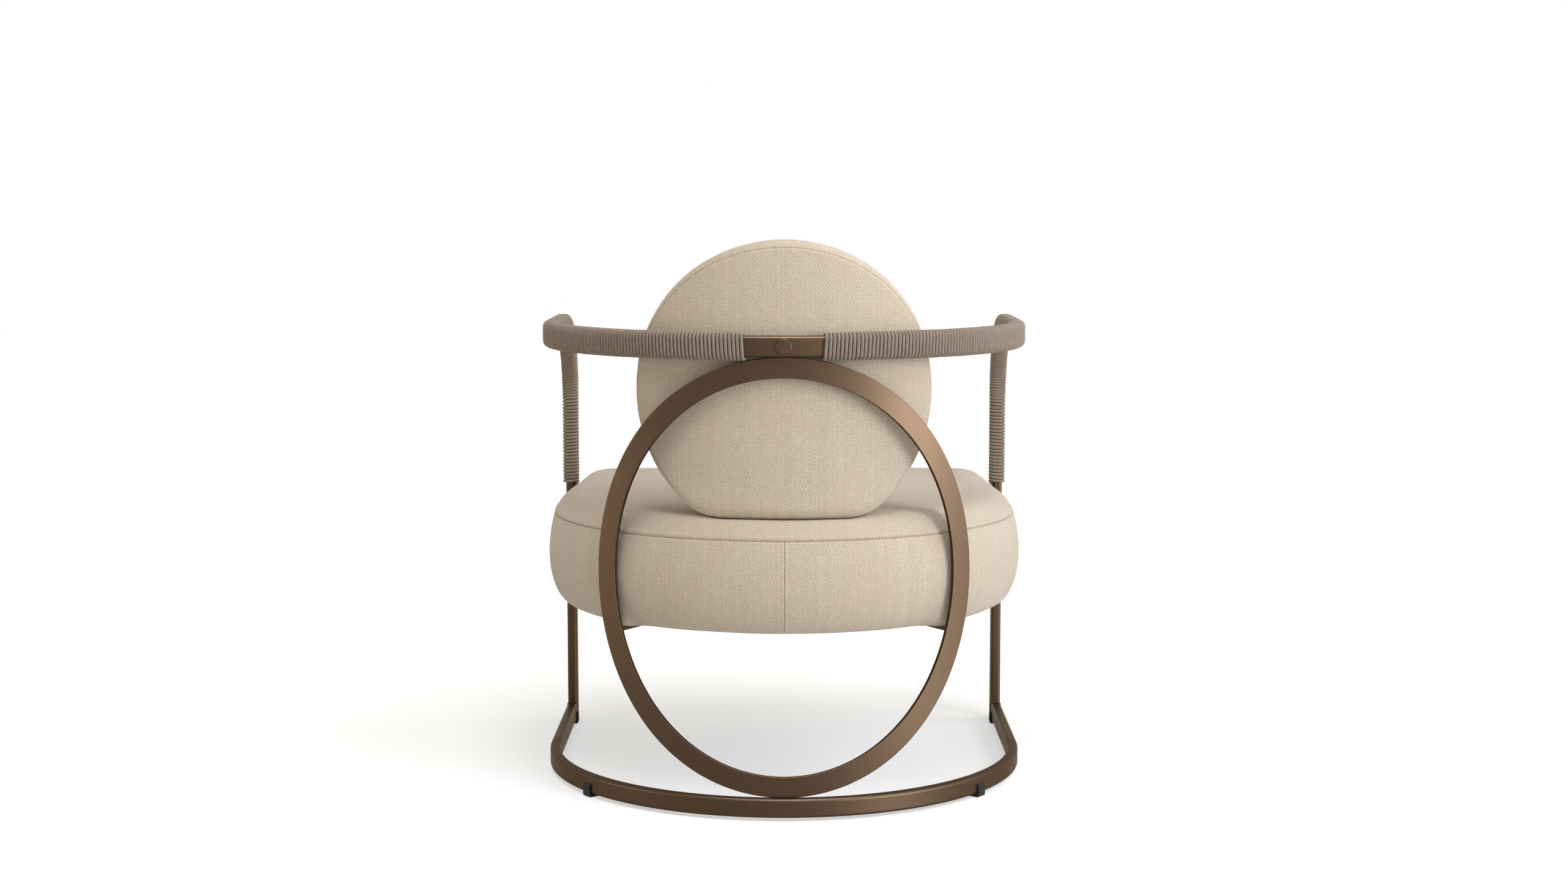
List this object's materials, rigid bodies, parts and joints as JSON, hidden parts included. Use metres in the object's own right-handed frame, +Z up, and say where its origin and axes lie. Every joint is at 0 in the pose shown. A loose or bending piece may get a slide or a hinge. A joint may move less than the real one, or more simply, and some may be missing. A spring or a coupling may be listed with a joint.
{
  "type": "armchair",
  "caption": "Low horseshoe-back armchair: bent metal tube frame with an oval hoop, cord-wound arms, round bent back pad and deep seat pad.",
  "frame": {"origin": "on the floor, at the middle of the chair's footprint box", "axes": "+Z up, +Y towards the chair's back, +X towards the sitter's left"},
  "size_m": [0.6996, 0.673, 0.7755],
  "materials": {
    "bronze_frame": "satin",
    "plated_fixings": "satin",
    "black_glide": "matte",
    "wound_cord": "matte",
    "woven_cover": "matte",
    "pad_foam": "matte",
    "plywood": "matte",
    "dust_cloth": "matte"
  },
  "bodies": {
    "root": {"arm_rail": "bronze_frame", "back_board": "plywood", "back_bolt": "bronze_frame", "back_cover": "woven_cover", "back_foam": "pad_foam", "back_spacer": "plated_fixings", "back_tee_nut": "plated_fixings", "base_rail": "bronze_frame", "cord_sleeve_left": "wound_cord", "cord_sleeve_right": "wound_cord", "cord_turns_left": "wound_cord", "cord_turns_right": "wound_cord", "front_crossbar": "bronze_frame", "glide_front_left": "black_glide", "glide_front_right": "black_glide", "glide_rear_left": "black_glide", "glide_rear_right": "black_glide", "hoop_bracket_left": "bronze_frame", "hoop_bracket_right": "bronze_frame", "hoop_ring": "bronze_frame", "post_left": "bronze_frame", "post_right": "bronze_frame", "seat_board": "plywood", "seat_cover": "woven_cover", "seat_dust_cover": "dust_cloth", "seat_foam": "pad_foam", "seat_screws": "plated_fixings"}
  },
  "joints": []
}
